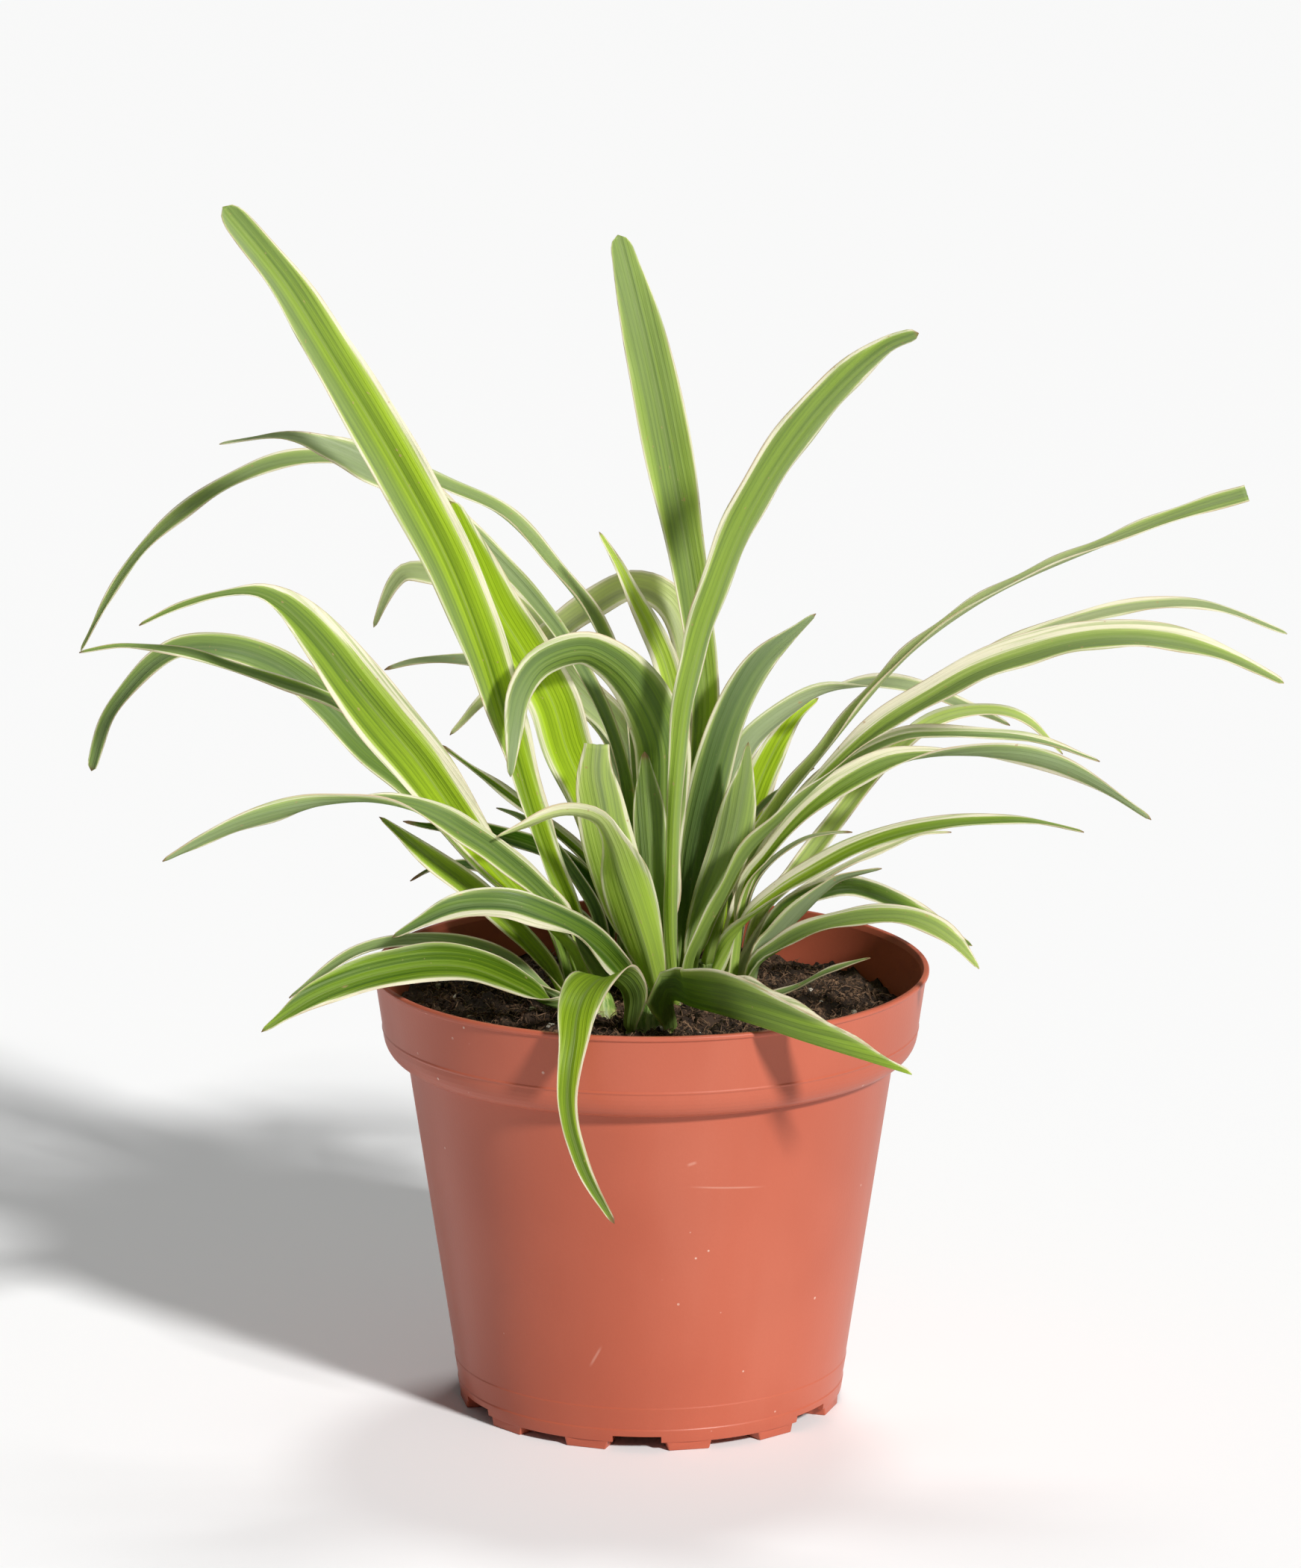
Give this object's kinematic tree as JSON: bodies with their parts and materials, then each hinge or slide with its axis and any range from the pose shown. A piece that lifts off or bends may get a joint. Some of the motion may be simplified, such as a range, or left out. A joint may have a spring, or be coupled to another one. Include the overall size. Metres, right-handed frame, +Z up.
{
  "type": "potted spider plant",
  "caption": "Spider plant with narrow cream-edged green leaves arching from several crowns, in dark soil in a tapered terracotta-coloured plastic nursery pot with a broad rim band.",
  "frame": {"origin": "the middle of the whole outline seen from above, on the surface that the pot's feet stand on; the pot's axis is about 6 mm to the left of it and 6 mm in front of it", "axes": "+Z up, -Y towards the viewer of the picture, +X to the viewer's right"},
  "size_m": [0.2608, 0.157, 0.2651],
  "materials": {
    "pot": "satin moulded polypropylene, terracotta coloured",
    "soil": "crumbly dark potting soil",
    "crown": "pale fibrous rootstock",
    "leaf": "satin green leaf with cream margins"
  },
  "bodies": {
    "root": {"pot": "pot", "soil": "soil", "crown_left": "crown", "crown_centre": "crown", "crown_right": "crown", "crown_front": "crown", "crown_back": "crown", "crown_back_right": "crown", "leaf_tall_left": "leaf", "leaf_wide_left": "leaf", "leaf_long_low_left": "leaf", "leaf_stalk_left": "leaf", "leaf_front_left": "leaf", "leaf_grey_left": "leaf", "leaf_strip_left": "leaf", "leaf_dark_left": "leaf", "leaf_back_tip_left": "leaf", "leaf_twist_left": "leaf", "leaf_kinked": "leaf", "leaf_right_arch": "leaf", "leaf_great_right_arch": "leaf", "leaf_short_right": "leaf", "leaf_tall_centre": "leaf", "leaf_small_lime": "leaf", "leaf_lime_left": "leaf", "leaf_cut_tip": "leaf", "leaf_central_arch": "leaf", "leaf_short_grey": "leaf", "leaf_dark_right": "leaf", "leaf_low_right": "leaf", "leaf_mid_right": "leaf", "leaf_white_edged_right": "leaf", "leaf_curl_right": "leaf", "leaf_grey_right": "leaf", "leaf_behind_right": "leaf", "leaf_tail_right": "leaf", "leaf_thread_right": "leaf", "leaf_front_drop": "leaf", "leaf_front_right": "leaf", "leaf_slim_arch_left": "leaf", "leaf_long_arch_left": "leaf", "leaf_back_hook_left": "leaf", "leaf_back_arch_centre": "leaf", "leaf_back_grey_left": "leaf", "leaf_back_slim_left": "leaf", "leaf_back_dark_left": "leaf", "leaf_low_tip_left": "leaf", "leaf_back_centre": "leaf", "leaf_back_left": "leaf", "leaf_back_drop_left": "leaf", "leaf_stiff_right": "leaf", "leaf_pale_tip_right": "leaf", "leaf_grey_arch_right": "leaf", "leaf_lime_right": "leaf", "leaf_slim_lime_right": "leaf", "leaf_thin_brown_right": "leaf", "leaf_thin_grey_right": "leaf", "leaf_back_right": "leaf", "leaf_back_drop_right": "leaf"}
  },
  "joints": []
}
